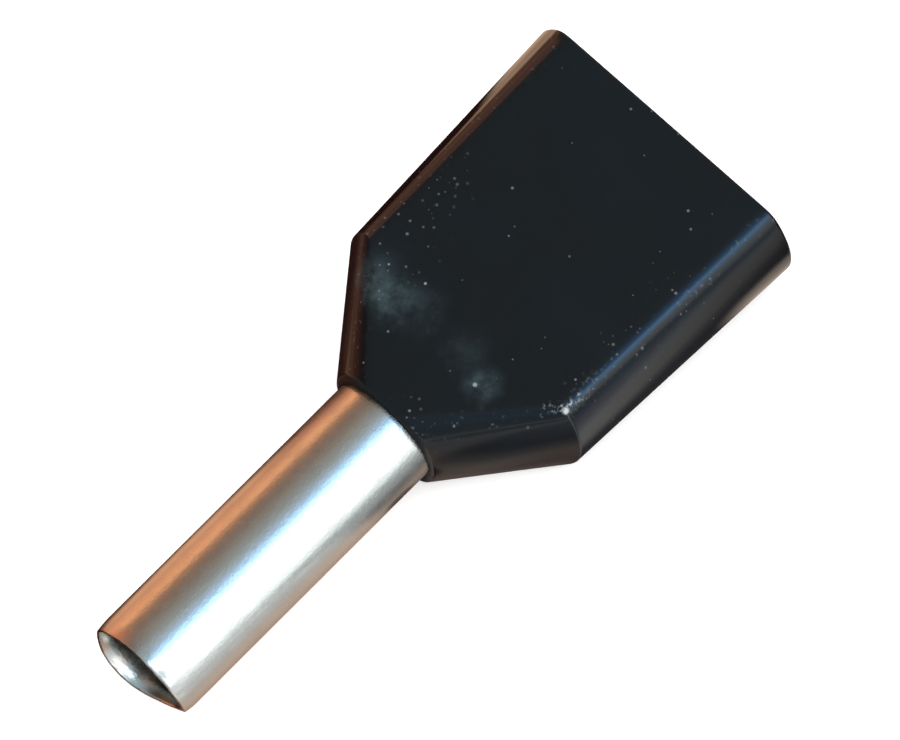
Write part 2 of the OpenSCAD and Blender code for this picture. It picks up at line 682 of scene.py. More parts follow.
@dataclass(frozen=True)
class TinnedCopper:
    """Soft bright tin over drawn copper, faintly granular, with painted shade and reflection on the
    bore towards -Y.
    """

    colour: Colour = (0.80, 0.78, 0.735)
    dull_colour: Colour = (0.64, 0.615, 0.57)
    edge_colour: Colour = (0.30, 0.12, 0.065)
    # Painted shade and reflection colour of the bore's -Y side.
    painted_inside_shade_colour: Colour = (0.21, 0.235, 0.20)
    roughness: float = 0.23
    roughness_spread: float = 0.16
    roughness_per_mm: float = 5.0
    clouds: Clouds = Clouds(1.6, 5, 0.6, 0.36, 0.74)
    cloud_share: float = 0.45
    cloud_roughness: float = 0.07
    inside_edges: Range = (-0.2, -1.0)
    painted_shade_side: Range = (0.15, -0.35)
    bare_edges: Range = (0.5, 1.0)
    cut_bare: float = 0.55
    rubbing: Rubbing = Rubbing(7.0, 0.5)
    worn_most: float = 0.35
    line_share: float = 0.45
    relief_depth: float = 0.010 * MM
    relief_strength: float = 0.55
    line_stretch: Point = (0.16, 1.0, 1.0)
    lines: Grain = Grain(16.0, 4.0, 0.5)
    pits: Grain = Grain(13.0, 3.0, 0.45)
    dust: Specks = Specks(3.0, 0.10, 0.11, 0.35)

    def build(self, effects: SharedEffects) -> bpy.types.Material:
        """Build the material.

        Args:
            effects: the shared node groups.

        Returns:
            The tin's material.
        """
        material, graph = new_material("tinned copper")
        place = millimetres(graph)
        drawn = millimetres(graph, self.line_stretch)
        cloud = self.clouds.mask(graph, place)
        colour = graph.blend(graph.times(cloud, self.cloud_share), self.colour, self.dull_colour)
        edge = graph.add("Attribute", attribute_name="edge").outputs["Fac"]
        # Painted shade and reflection: the bore's colour turns olive grey towards -Y.
        inside = graph.ramp(edge, *self.inside_edges)
        across = graph.parts(place)["Y"]
        dulled = graph.times(inside, graph.ramp(across, *self.painted_shade_side))
        colour = graph.blend(dulled, colour, self.painted_inside_shade_colour)
        edge = graph.larger(edge, 0.0)
        worn = graph.times(self.rubbing.mask(graph, effects, place, edge), self.worn_most)
        bare = graph.scaled(graph.ramp(edge, *self.bare_edges), self.cut_bare, worn)
        colour = graph.blend(bare, colour, self.edge_colour)
        colour = graph.blend(self.dust.mask(graph, effects, place), colour, self.dull_colour)
        grain = graph.noise(place, self.roughness_per_mm, 4)
        least = self.roughness - self.roughness_spread / 2
        varied = graph.scaled(grain, self.roughness_spread, least)
        roughness = graph.scaled(cloud, self.cloud_roughness, varied)
        pits = self.pits.height(graph, effects, place)
        height = graph.scaled(self.lines.height(graph, effects, drawn), self.line_share, pits)
        shader = graph.add(
            "BsdfPrincipled",
            {
                "Base Color": colour,
                "Metallic": 1.0,
                "Roughness": roughness,
                "Normal": bump(graph, height, self.relief_depth, self.relief_strength),
            },
        )
        graph.add("OutputMaterial", {"Surface": shader.outputs[0]})
        return material


# ---------------------------------------------------------------- mesh making


def loft(name: str, rings: list[Ring], edges: list[float]) -> bpy.types.Object:
    """Join rings of equally many points into a smooth closed skin, facing outwards.

    Args:
        name: the object's name.
        rings: the rings, in order.
        edges: how much of an edge each point is, ring after ring.

    Returns:
        The new object, with its edge values as an attribute.
    """
    count = len(rings[0])
    points = [point for ring in rings for point in ring]
    faces = []
    for row in range(len(rings)):
        ahead = (row + 1) % len(rings)
        for column in range(count):
            beside = (column + 1) % count
            near, far = row * count, ahead * count
            faces.append((near + column, near + beside, far + beside, far + column))
    mesh = bpy.data.meshes.new(name)
    mesh.from_pydata(points, [], faces)
    mesh.polygons.foreach_set("use_smooth", [True] * len(faces))
    attribute = mesh.attributes.new("edge", "FLOAT", "POINT")
    attribute.data.foreach_set("value", edges)
    mesh.validate()
    shell = bmesh.new()
    shell.from_mesh(mesh)
    if shell.calc_volume(signed=True) < 0:
        mesh.flip_normals()
    shell.free()
    mesh.update()
    piece = bpy.data.objects.new(name, mesh)
    bpy.context.scene.collection.objects.link(piece)
    return piece


def steps(start: float, stop: float, count: int) -> list[float]:
    """Evenly spaced values from start to stop, both included."""
    return [start + (stop - start) * i / count for i in range(count + 1)]


LEAST_EDGE_R = 0.05 * MM
FLAT_STEPS = 8
ARC_STEPS = 60


@dataclass(frozen=True)
class Section:
    """Flattened section of the collar: flats, bowed sides and rounded edges."""

    width: float
    height: float
    bow: float
    edge_r: float

    @property
    def side_r(self) -> float:
        """Radius of the bowed sides."""
        return (self.bow**2 + self.height**2 / 4) / (2 * self.bow)

    def inset(self, depth: float) -> "Section":
        """The same section drawn in on all sides.

        Args:
            depth: how far in.

        Returns:
            The smaller section.
        """
        side_r = self.side_r - depth
        half = self.height / 2 - depth
        bow = side_r - math.sqrt(side_r**2 - half**2)
        edge_r = max(self.edge_r - depth, LEAST_EDGE_R)
        return Section(self.width - 2 * depth, 2 * half, bow, edge_r)

    def outline(self, count: int, ease: float) -> np.ndarray:
        """Points evenly round the section, from the top's middle towards +Y.

        Args:
            count: how many points.
            ease: reach over which flats, edges and sides run into each other.

        Returns:
            One row for each point: across, up and edge share.
        """
        centre = self.width / 2 - self.side_r
        edge_z = self.height / 2 - self.edge_r
        edge_y = centre + math.sqrt((self.side_r - self.edge_r) ** 2 - edge_z**2)
        lean = math.atan2(edge_z, edge_y - centre)
        flat = [(y, self.height / 2, 0.0) for y in steps(0, edge_y, FLAT_STEPS)[:-1]]
        turn = math.pi / 2 - lean
        edge = [
            (
                edge_y + self.edge_r * math.cos(angle),
                edge_z + self.edge_r * math.sin(angle),
                math.sin(math.pi * (math.pi / 2 - angle) / turn),
            )
            for angle in steps(math.pi / 2, lean, ARC_STEPS)
        ]
        side = [
            (centre + self.side_r * math.cos(angle), self.side_r * math.sin(angle), 0.0)
            for angle in steps(lean, 0.0, ARC_STEPS)[1:]
        ]
        quarter = np.array(flat + edge + side)
        half = np.vstack((quarter, quarter[-2::-1] * (1, -1, 1)))
        path = np.vstack((half, half[-2::-1] * (-1, 1, 1)))
        run = np.concatenate(([0.0], np.cumsum(np.hypot(*np.diff(path[:, :2], axis=0).T))))
        places = np.arange(count) * run[-1] / count
        rows = np.stack([np.interp(places, run, path[:, column]) for column in range(3)])
        waves = np.fft.rfftfreq(count, run[-1] / count)
        blur = np.exp(-2 * (math.pi * waves * ease) ** 2)
        return np.fft.irfft(np.fft.rfft(rows) * blur, count).T


def between(first: Section, second: Section, share: float) -> Section:
    """A section on the way from one to another.

    Args:
        first: the section at share 0.
        second: the section at share 1.
        share: how far along.

    Returns:
        The section there.
    """
    pairs = zip(astuple(first), astuple(second))
    return Section(*(a + (b - a) * share for a, b in pairs))


@dataclass
class InsulatingCollar:
    """Moulded funnel that holds the sleeve and takes two insulated conductors."""

    sleeve_r: float
    taper: float = 2.5 * MM
    shoulder_width: float = 6.78 * MM
    cheek: float = 0.13 * MM
    bows: tuple[float, float, float] = (0.50 * MM, 0.40 * MM, 0.60 * MM)
    edge_radii: tuple[float, float, float] = (0.76 * MM, 0.30 * MM, 0.42 * MM)
    wall: float = 0.28 * MM
    sleeve_wall: float = 0.15 * MM
    funnel: float = 1.5 * MM
    grip: float = 1.5 * MM
    flare: float = 0.10 * MM
    clearance: float = 0.01 * MM
    crease_reach: float = 0.03 * MM
    rim_r: float = 0.08 * MM
    lip_r: float = 0.03 * MM
    nose_r: float = 0.05 * MM
    guard: float = 0.02 * MM
    ease: float = 0.10 * MM
    flat_reach: float = 0.04 * MM
    count: int = 512
    nose_rows: int = 6
    matt_rows: int = 3
    taper_rows: int = 14
    crease_rows: int = 6
    side_rows: int = 24
    rim_rows: int = 5
    lip_rows: int = 4
    cavity_rows: int = 18
    funnel_rows: int = 12
    # Edge shares that carry the painted highlight line down the -Y side of the crease.
    crease_highlight_edge: float = 2.0
    crease_highlight_fade: float = 1.3
    rim_edge: float = 0.8
    lip_edge: float = 0.5
    finish: BlackPolypropylene = field(default_factory=BlackPolypropylene)
    end_finish: MattMouldedEnd = field(default_factory=MattMouldedEnd)

    def __post_init__(self) -> None:
        """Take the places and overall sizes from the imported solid."""
        low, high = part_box("insulating_collar")
        self.neck_x, self.entry_x = low.x, high.x
        self.shoulder_x = self.neck_x + self.taper
        self.held_x = self.neck_x + self.grip
        self.funnel_x = self.held_x + self.funnel
        self.axis_z = (low.z + high.z) / 2
        height = high.z - low.z
        widths = (2 * (self.sleeve_r + self.cheek), self.shoulder_width, high.y - low.y)
        self.sections = [
            Section(width, height, bow, edge_r)
            for width, bow, edge_r in zip(widths, self.bows, self.edge_radii)
        ]

    def section_at(self, x: float) -> Section:
        """Outer section at a place along X, the crease at the shoulders eased a little.

        Args:
            x: the place, in the part's frame.

        Returns:
            The section there.
        """
        neck, shoulder, entry = self.sections
        gap = x - self.shoulder_x
        before = between(neck, shoulder, (x - self.neck_x) / self.taper)
        after = between(shoulder, entry, gap / (self.entry_x - self.shoulder_x))
        if abs(gap) >= self.crease_reach:
            return before if gap < 0 else after
        turn = (gap + self.crease_reach) / (2 * self.crease_reach)
        start = between(neck, shoulder, 1 - self.crease_reach / self.taper)
        run = self.crease_reach / (self.entry_x - self.shoulder_x)
        middle, end = shoulder, between(shoulder, entry, run)
        return between(between(start, middle, turn), between(middle, end, turn), turn)

    def section_ring(self, x: float, section: Section, edge: float = 0.0) -> tuple[Ring, list[float]]:
        """A ring of points round a section at a place along X.

        Args:
            x: the place.
            section: the section.
            edge: the least edge share of its points.

        Returns:
            The ring's points and their edge shares.
        """
        outline = section.outline(self.count, self.ease)
        ring = [(x, float(y), self.axis_z + float(z)) for y, z, _ in outline]
        below = section.height / 2 - np.abs(outline[:, 1])
        off_flat = np.clip(below / self.flat_reach, 0.0, 1.0)
        shares = [max(float(share), edge * float(off)) for share, off in zip(outline[:, 2], off_flat)]
        return ring, shares

    def round_ring(self, x: float, radius: float) -> tuple[Ring, list[float]]:
        """A ring of points round the sleeve's axis, in line with the neck's points.

        Args:
            x: the place along X.
            radius: the ring's radius.

        Returns:
            The ring's points and their edge shares.
        """
        outline = self.sections[0].outline(self.count, self.ease)[:, :2]
        spots = radius * outline / np.hypot(*outline.T)[:, None]
        return [(x, float(y), self.axis_z + float(z)) for y, z in spots], [0.0] * self.count

    def outside(self) -> list[tuple[Ring, list[float]]]:
        """Rings over the outside, from the neck's end face to the rim.

        An edge share above 1 marks the crease, where a painted highlight line runs down the -Y side
        only.
        """
        rings = []
        for angle in steps(0, math.pi / 2, self.nose_rows):
            x = self.neck_x + self.nose_r * (1 - math.cos(angle))
            section = self.section_at(x).inset(self.nose_r * (1 - math.sin(angle)))
            rings.append(self.section_ring(x, section))
        near, far = self.shoulder_x - self.crease_reach, self.shoulder_x + self.crease_reach
        for x in steps(self.neck_x + self.nose_r, near - self.guard, self.taper_rows)[1:]:
            rings.append(self.section_ring(x, self.section_at(x)))
        for x in steps(near, far, self.crease_rows):
            ring, plain = self.section_ring(x, self.section_at(x))
            # Shares above 1 on the -Y side carry the painted highlight line down the crease.
            painted_highlight = self.crease_highlight_edge - self.crease_highlight_fade * abs(x - self.shoulder_x) / self.crease_reach
            rubbed = self.section_ring(x, self.section_at(x), painted_highlight)[1]
            shares = [worn if y < 0 else share for (_, y, _), worn, share in zip(ring, rubbed, plain)]
            rings.append((ring, shares))
        for x in steps(far + self.guard, self.entry_x - self.rim_r, self.side_rows):
            rings.append(self.section_ring(x, self.section_at(x)))
        for angle in steps(0, math.pi / 2, self.rim_rows)[1:]:
            x = self.entry_x - self.rim_r * (1 - math.sin(angle))
            section = self.sections[2].inset(self.rim_r * (1 - math.cos(angle)))
            rings.append(self.section_ring(x, section, self.rim_edge))
        return rings

    def inside(self) -> list[tuple[Ring, list[float]]]:
        """Rings over the cavity, the funnel and the sleeve's seat, back to the neck."""
        rings = []
        for angle in steps(0, math.pi / 2, self.lip_rows):
            x = self.entry_x - self.lip_r * (1 - math.cos(angle))
            section = self.section_at(x).inset(self.wall - self.lip_r * (1 - math.sin(angle)))
            rings.append(self.section_ring(x, section, self.lip_edge))
        for x in steps(self.entry_x - self.lip_r, self.funnel_x, self.cavity_rows)[1:]:
            rings.append(self.section_ring(x, self.section_at(x).inset(self.wall)))
        wide, _ = rings[-1]
        mouth, _ = self.round_ring(self.held_x, self.sleeve_r - self.sleeve_wall + self.flare)
        for share in steps(0, 1, self.funnel_rows)[1:]:
            ring = [tuple(a + (b - a) * share for a, b in zip(p, q)) for p, q in zip(wide, mouth)]
            rings.append((ring, [0.0] * len(ring)))
        seat_r = self.sleeve_r + self.clearance
        rings.append(self.round_ring(self.held_x + self.clearance, seat_r + self.flare))
        rings.append(self.round_ring(self.held_x, seat_r + self.flare))
        rings.append(self.round_ring(self.neck_x + self.lip_r, seat_r))
        rings.append(self.round_ring(self.neck_x, seat_r))
        return rings

    def build(self, effects: SharedEffects) -> bpy.types.Object:
        """Build and dress the collar.

        Args:
            effects: the shared node groups.

        Returns:
            The collar's object.
        """
        rings = self.outside() + self.inside()
        edges = [share for _, shares in rings for share in shares]
        piece = loft("collar_moulding", [ring for ring, _ in rings], edges)
        piece.data.materials.append(self.finish.build(effects))
        piece.data.materials.append(self.end_finish.build())
        matt = self.matt_rows * self.count
        last = (len(rings) - 1) * self.count
        spots = [int(i < matt or i >= last) for i in range(len(rings) * self.count)]
        piece.data.polygons.foreach_set("material_index", spots)
        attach(piece, "root")
        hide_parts("insulating_collar")
        return piece


@dataclass(frozen=True)
class Dent:
    """A small inward dent in the sleeve's tip."""

    angle: float
    spread: float
    depth: float
    length: float


@dataclass
class ContactSleeve:
    """Drawn tube with a rolled tip, flared over the length that the collar holds."""

    outer_r: float
    bore_r: float
    tip: float = 0.38 * MM
    roll: float = 0.035 * MM
    bell: float = 0.06 * MM
    flare: float = 0.10 * MM
    grip: float = 1.5 * MM
    rim_r: float = 0.02 * MM
    rim_fade: float = 0.6 * MM
    count: int = 192
    held_rows: int = 4
    wall_rows: int = 24
    tip_rows: int = 10
    rim_rows: int = 4
    dents: tuple[Dent, ...] = (
        Dent(math.radians(-31), math.radians(9), 0.040 * MM, 0.14 * MM),
        Dent(math.radians(-58), math.radians(16), 0.012 * MM, 0.25 * MM),
        Dent(math.radians(20), math.radians(20), 0.010 * MM, 0.30 * MM),
    )
    rim_line: tuple[tuple[float, float], ...] = (
        (-150, -0.078), (-135, -0.112), (-120, -0.108), (-105, -0.060),
        (-88, 0.000), (-56, 0.060), (-36, 0.068), (-27, 0.082),
        (-20, 0.072), (-12, 0.088), (-4, 0.064), (18, 0.056),
        (48, 0.070), (72, 0.055), (90, 0.038), (102, 0.058),
        (120, 0.106), (136, 0.128), (154, 0.122), (170, 0.086),
        (186, 0.020), (200, -0.048), (210, -0.078),
    )
    finish: TinnedCopper = field(default_factory=TinnedCopper)

    def __post_init__(self) -> None:
        """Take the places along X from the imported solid."""
        low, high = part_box("contact_sleeve")
        self.tip_x, self.held_x = low.x, high.x
        self.neck_x = self.held_x - self.grip
        self.axis_z = (low.z + high.z) / 2

    def turned_at(self, x: float, turn: float) -> float:
        """How far the worked tip has left the straight wall at a place along X.

        Args:
            x: the place.
            turn: how far it has gone at the rim.

        Returns:
            The distance, on the radius.
        """
        into = self.tip_x + self.tip - x
        arc_r = (self.tip**2 + turn**2) / (2 * turn)
        return 0.0 if into <= 0 else arc_r - math.sqrt(arc_r**2 - into**2)

    def flare_at(self, x: float) -> float:
        """How far the held length has opened out at a place along X."""
        return max(0.0, self.flare * (x - self.neck_x) / self.grip)

    def profile(self) -> list[tuple[float, float, float]]:
        """Place along X, radius and edge share, round the wall from the held end.

        The share is -1 on the bore, which marks it as the inside.
        """
        outer, inner, rim = self.outer_r, self.bore_r, self.rim_r
        outside = steps(self.held_x, self.neck_x, self.held_rows)
        outside += steps(self.neck_x, self.tip_x + self.tip, self.wall_rows)[1:]
        outside += steps(self.tip_x + self.tip, self.tip_x + rim, self.tip_rows)[1:]
        path = [(x, outer + self.flare_at(x) - self.turned_at(x, self.roll), 0.0) for x in outside]
        for angle in steps(0, math.pi / 2, self.rim_rows)[1:]:
            x = self.tip_x + rim * (1 - math.sin(angle))
            path.append((x, outer - self.roll - rim * (1 - math.cos(angle)), 1.0))
        for angle in steps(math.pi / 2, 0, self.rim_rows):
            x = self.tip_x + rim * (1 - math.sin(angle))
            path.append((x, inner + self.bell + rim * (1 - math.cos(angle)), 1.0))
        for x in reversed(outside):
            if x > self.tip_x + rim:
                path.append((x, inner + self.flare_at(x) + self.turned_at(x, self.bell), -1.0))
        return path

    def drawn_out(self, x: float, angle: float) -> float:
        """How far the cut rim reaches out at a place, being cut a little askew.

        Args:
            x: the place along X.
            angle: the place round the axis, from the top towards +Y.

        Returns:
            The distance towards the tip's side.
        """
        near = max(0.0, 1 - (x - self.tip_x) / self.rim_fade)
        degrees = (math.degrees(angle) + 150) % 360 - 150
        places, reaches = zip(*self.rim_line)
        return float(np.interp(degrees, places, reaches)) * MM * near**2

    def dented(self, x: float, angle: float) -> float:
        """How far the dents push the wall in at a place.

        Args:
            x: the place along X.
            angle: the place round the axis, from the top towards +Y.

        Returns:
            The depth there.
        """
        depth = 0.0
        for dent in self.dents:
            turn = (angle - dent.angle + math.pi) % (2 * math.pi) - math.pi
            along = (x - self.tip_x) / dent.length
            depth += dent.depth * math.exp(-((turn / dent.spread) ** 2) - along**2)
        return depth

    def build(self, effects: SharedEffects) -> bpy.types.Object:
        """Build and dress the sleeve.

        Args:
            effects: the shared node groups.

        Returns:
            The sleeve's object.
        """
        rings, edges = [], []
        for x, radius, edge in self.profile():
            ring = []
            for column in range(self.count):
                angle = 2 * math.pi * column / self.count
                r = radius - self.dented(x, angle)
                place = x - self.drawn_out(x, angle)
                ring.append((place, r * math.sin(angle), self.axis_z + r * math.cos(angle)))
            rings.append(ring)
            edges += [edge] * self.count
        piece = loft("sleeve_tube", rings, edges)
        piece.data.materials.append(self.finish.build(effects))
        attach(piece, "root")
        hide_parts("contact_sleeve")
        return piece


# ---------------------------------------------------------------- the studio


@dataclass(frozen=True)
class SoftCard:
    """A rectangular soft light, placed by the direction it is seen in."""

    name: str
    lean_y: float
    lean_x: float
    distance: float
    size: tuple[float, float]
    colour: Colour
    radiance: float
    only: str = ""

    @property
    def seen(self) -> Seen:
        """A card for one piece is only mirrored in it; the others only light."""
        return Seen.MIRRORED_ONLY if self.only else Seen.LIGHTS_ONLY

    def place(self, aim: Vector) -> bpy.types.Object:
        """Make the light and turn it to the part.

        Args:
            aim: the point that it faces.

        Returns:
            The light's object.
        """
        data = bpy.data.lights.new(self.name, "AREA")
        data.shape = "RECTANGLE"
        data.size, data.size_y = self.size
        data.color = self.colour
        data.energy = self.radiance * math.pi * self.size[0] * self.size[1]
        light = bpy.data.objects.new(self.name, data)
        bpy.context.scene.collection.objects.link(light)
        tilt_y, tilt_x = math.radians(self.lean_y), math.radians(self.lean_x)
        sideways, level = math.sin(tilt_x), math.cos(tilt_x)
        across = Vector((sideways, level * math.sin(tilt_y), level * math.cos(tilt_y)))
        along = Vector((level, -sideways * math.sin(tilt_y), -sideways * math.cos(tilt_y)))
        up = across.cross(along)
        turn = Matrix((along, up, across)).transposed()
        light.matrix_world = Matrix.Translation(aim + across * self.distance) @ turn.to_4x4()
        light.visible_camera = False
        light.visible_diffuse = self.seen is Seen.LIGHTS_ONLY
        light.visible_glossy = self.seen is Seen.MIRRORED_ONLY
        light.visible_transmission = False
        if self.only:
            lit = bpy.data.collections.new(self.name)
            lit.objects.link(bpy.data.objects[self.only])
            light.light_linking.receiver_collection = lit
        return light


@dataclass(frozen=True)
class TablePatch:
    """A lighter or darker patch of the table top, in millimetres."""

    centre: tuple[float, float]
    reach: tuple[float, float]
    colour: Colour
    amount: float = 1.0
    turn: float = 0.0

    def mask(self, graph: Graph, along: object, across: object) -> Socket:
        """Mask of the patch, an ellipse with a soft outline.

        Args:
            graph: the floor material's graph.
            along: the place along X in millimetres.
            across: the place along Y in millimetres.

        Returns:
            The mask's socket.
        """
        sine, cosine = math.sin(math.radians(self.turn)), math.cos(math.radians(self.turn))
        near_x = graph.maths("SUBTRACT", along, self.centre[0])
        near_y = graph.maths("SUBTRACT", across, self.centre[1])
        long = graph.scaled(near_y, sine, graph.times(near_x, cosine))
        wide = graph.scaled(near_x, -sine, graph.times(near_y, cosine))
        offset_x = graph.maths("DIVIDE", long, self.reach[0])
        offset_y = graph.maths("DIVIDE", wide, self.reach[1])
        square = graph.scaled(offset_y, offset_y, graph.maths("POWER", offset_x, 2.0))
        return graph.times(graph.ramp(square, 1.0, 0.25), self.amount)


@dataclass(frozen=True)
class PaleFloor:
    """Plain pale floor, which is mirrored in gloss as a warm table top that glows for gloss alone.

    The stops run over the distance from the part's side, and all places and distances of the table top
    are in millimetres. Beside the collar and on the warm side they start dark: painted shadow of the
    part on the table.
    """

    colour: Colour = (0.93, 0.93, 0.925)
    glow: float = 0.32
    size: float = 4.0
    beside_sleeve: tuple[Stop, ...] = gradient(
        (0.0, 0.44, 0.31, 0.24), (1.4, 0.57, 0.45, 0.38), (3.5, 0.50, 0.49, 0.47),
        (7.0, 0.88, 0.90, 0.91), (20.0, 1.00, 1.03, 1.04),
    )
    # Dark next to the part: painted shadow on the table.
    beside_taper: tuple[Stop, ...] = gradient(
        (0.0, 0.15, 0.115, 0.105), (0.4, 0.24, 0.18, 0.145), (1.0, 0.33, 0.26, 0.215),
        (1.7, 0.22, 0.20, 0.185), (2.6, 0.12, 0.12, 0.13), (4.0, 0.21, 0.215, 0.225),
        (5.4, 0.33, 0.365, 0.385), (9.0, 0.33, 0.375, 0.395),
    )
    # Dark next to the part: painted shadow on the table.
    beside_collar: tuple[Stop, ...] = gradient(
        (0.0, 0.05, 0.047, 0.048), (0.5, 0.065, 0.058, 0.062), (0.8, 0.105, 0.092, 0.098),
        (1.2, 0.23, 0.205, 0.21), (1.8, 0.52, 0.49, 0.45), (2.7, 0.66, 0.65, 0.60),
        (4.0, 0.84, 0.84, 0.84), (6.0, 0.58, 0.61, 0.65), (11.0, 0.40, 0.46, 0.57),
        (40.0, 0.48, 0.61, 0.76),
    )
    # Dark next to the part: painted shadow on the table.
    warm_side: tuple[Stop, ...] = gradient(
        (0.0, 0.022, 0.004, 0.002), (1.4, 0.05, 0.014, 0.008), (2.8, 0.16, 0.058, 0.032),
        (6.0, 0.46, 0.19, 0.11), (12.0, 0.78, 0.33, 0.17), (20.0, 0.84, 0.37, 0.18),
    )
    # Dark next to the part: painted shadow on the table.
    warm_end: tuple[Stop, ...] = gradient(
        (0.0, 0.022, 0.006, 0.002), (3.4, 0.045, 0.010, 0.004), (5.3, 0.085, 0.022, 0.010),
        (9.9, 0.28, 0.09, 0.05), (24.0, 0.80, 0.37, 0.20),
    )
    # The dark patch by the neck is painted shade between the sleeve and the taper; the two bright warm
    # patches past the entry are painted pools of light.
    patches: tuple[TablePatch, ...] = (
        TablePatch((-60.0, -80.0), (58.0, 70.0), (0.32, 0.37, 0.395)),
        TablePatch((-9.0, -14.6), (12.5, 3.0), (0.32, 0.365, 0.385), turn=51.5),
        TablePatch((-1.15, -1.75), (0.50, 0.50), (0.03, 0.012, 0.006), amount=0.8),
        TablePatch((-4.6, 6.0), (4.4, 3.4), (0.78, 0.40, 0.22)),
        TablePatch((9.0, -4.0), (2.9, 1.25), (0.76, 0.63, 0.52)),
        TablePatch((9.6, 12.0), (3.6, 9.0), (2.10, 1.25, 0.78)),
        TablePatch((8.8, 6.0), (2.2, 2.1), (1.05, 0.68, 0.46)),
    )
    neck_x: float = -0.65
    shoulder_x: float = 1.85
    neck_half: float = 1.3
    shoulder_half: float = 3.5
    slant: float = 0.25
    spread: float = 0.733
    spread_from: float = 2.3
    spread_even: float = 4.6
    to_taper: Range = (-2.3, -1.3)
    to_collar: Range = (1.5, 2.2)
    to_end: Range = (1.5, 3.5)
    to_warm: Range = (-0.6, 0.6)

    def build(self) -> bpy.types.Object:
        """Lay the floor under the part.

        Returns:
            The floor's object.
        """
        half = self.size / 2
        corners = [(-half, -half, 0), (half, -half, 0), (half, half, 0), (-half, half, 0)]
        mesh = bpy.data.meshes.new("floor")
        mesh.from_pydata(corners, [], [(0, 1, 2, 3)])
        floor = bpy.data.objects.new("floor", mesh)
        bpy.context.scene.collection.objects.link(floor)
        material, graph = new_material("pale floor")
        seen = graph.add("BsdfDiffuse", {"Color": (*self.colour, 1), "Roughness": 0.0})
        mirrored = graph.add("Emission", {"Color": self.mirrored(graph), "Strength": 1.0})
        glow = graph.add("Emission", {"Color": (1, 1, 1, 1), "Strength": self.glow})
        bright = graph.add("AddShader", {0: seen.outputs[0], 1: glow.outputs[0]})
        glossy = graph.add("LightPath").outputs["Is Glossy Ray"]
        mixed = graph.add("MixShader", {0: glossy, 1: bright.outputs[0], 2: mirrored.outputs[0]})
        graph.add("OutputMaterial", {"Surface": mixed.outputs[0]})
        mesh.materials.append(material)
        return floor

    def mirrored(self, graph: Graph) -> Socket:
        """Colour that gloss picks up from the table top round the part, painted shadow and pools of
        light included.

        Args:
            graph: the floor material's graph.

        Returns:
            The colour's socket.
        """
        parts = graph.parts(millimetres(graph))
        along, across = parts["X"], parts["Y"]
        widening = graph.ramp(along, self.neck_x, self.shoulder_x)
        half_width = graph.scaled(widening, self.shoulder_half - self.neck_half, self.neck_half)
        away = graph.maths("SUBTRACT", graph.maths("ABSOLUTE", across), half_width)
        start = graph.scaled(graph.larger(away, 0.0), -self.slant, along)
        beyond = graph.maths("ADD", graph.larger(start, self.spread_from), -self.spread_even)
        spread = graph.maths("POWER", self.spread, beyond)
        sleeve = graph.shades(away, self.beside_sleeve)
        taper = graph.shades(away, self.beside_taper)
        collar = graph.shades(graph.times(away, spread), self.beside_collar)
        cool = graph.blend(graph.ramp(along, *self.to_taper), sleeve, taper)
        cool = graph.blend(graph.ramp(start, *self.to_collar), cool, collar)
        warm = graph.shades(away, self.warm_side)
        warm = graph.blend(graph.ramp(along, *self.to_end), warm, graph.shades(away, self.warm_end))
        colour = graph.blend(graph.ramp(across, *self.to_warm), cool, warm)
        for patch in self.patches:
            colour = graph.blend(patch.mask(graph, along, across), colour, patch.colour)
        return colour


